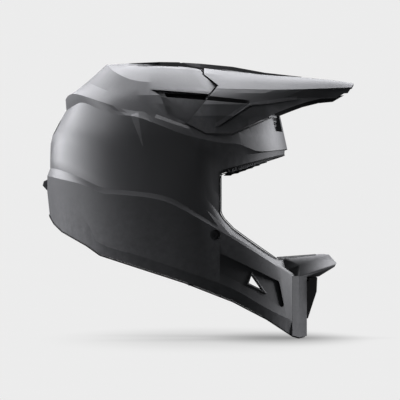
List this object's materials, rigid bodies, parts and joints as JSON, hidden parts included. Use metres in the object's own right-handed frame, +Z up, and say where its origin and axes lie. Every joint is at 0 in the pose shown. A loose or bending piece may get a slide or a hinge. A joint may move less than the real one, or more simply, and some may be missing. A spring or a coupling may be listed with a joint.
{
  "type": "downhill bike full face helmet",
  "caption": "Full face downhill cycling helmet: hard shell with chin bar, vented mouth, tilting peak, foam liner, soft pads and ratchet chin strap.",
  "frame": {"origin": "centre of the wearer's head inside the helmet, on its middle plane", "axes": "+X forward toward the chin and the visor's tip, +Y to the wearer's left, +Z up through the crown"},
  "size_m": [0.3261, 0.236, 0.289],
  "materials": {
    "shell_matte": "matte black, faintly grained",
    "visor_matte": "matte black, faintly grained",
    "insert_black": "matte, moulded",
    "hinge_plastic": "moulded nylon",
    "trim_rubber": "soft rubber bead",
    "foam_grey": "moulded bead foam",
    "pad_fabric": "brushed knit over foam",
    "webbing": "woven webbing",
    "steel_bright": "zinc plated",
    "steel_black": "black coated screw",
    "alloy": "turned"
  },
  "bodies": {
    "helmet": {"outer_shell": "shell_matte", "port_edge_trim": "trim_rubber", "neck_edge_trim": "trim_rubber", "mouth_vent_insert": "insert_black", "mouth_vent_mesh": "insert_black", "side_vent_duct_right": "insert_black", "side_vent_duct_left": "insert_black", "brow_vent_inserts": "insert_black", "rear_vent_mesh": "insert_black", "eps_front_right": "foam_grey", "eps_front_left": "foam_grey", "eps_rear_right": "foam_grey", "eps_rear_left": "foam_grey", "chin_eps_liner": "foam_grey", "crown_pads": "pad_fabric", "brow_pad": "pad_fabric", "brow_strip": "pad_fabric", "nape_pad": "pad_fabric", "cheek_pad_right": "pad_fabric", "cheek_pad_left": "pad_fabric", "neck_roll": "pad_fabric", "cheek_pad_snaps": "insert_black", "visor_hinge_brackets": "hinge_plastic", "visor_hinge_pins": "steel_bright", "visor_lock_bracket": "hinge_plastic", "visor_lock_nut": "steel_bright", "side_screws": "steel_black", "side_screw_washers": "trim_rubber", "side_screw_nuts": "steel_bright", "strap_right": "webbing", "strap_left": "webbing", "strap_anchors": "steel_bright", "strap_pad": "pad_fabric", "ratchet_tongue": "hinge_plastic", "buckle_body": "steel_bright", "buckle_pin": "steel_bright", "tongue_rivets": "steel_bright", "buckle_rivets": "steel_bright"},
    "visor_unit": {"visor": "visor_matte", "visor_hinge_lugs": "hinge_plastic", "visor_web": "hinge_plastic"},
    "lock_screw": {"visor_lock_screw": "alloy"},
    "lever": {"buckle_lever": "hinge_plastic"}
  },
  "joints": [
    {"name": "visor_tilt", "type": "hinge", "parent": "helmet", "child": "visor_unit", "pos_m": [0.0459, 0, 0.12427], "axis": [0, -1, 0], "range_deg": [0, 6]},
    {"name": "visor_lock_turn", "type": "hinge", "parent": "helmet", "child": "lock_screw", "pos_m": [0.10395, 0, 0.12138], "axis": [0, -1, 0], "range_deg": [0, 180]},
    {"name": "buckle_lever_turn", "type": "hinge", "parent": "helmet", "child": "lever", "pos_m": [0.03591, 0.02, -0.0872], "axis": [-1, 0, 0], "range_deg": [0, 50]}
  ]
}
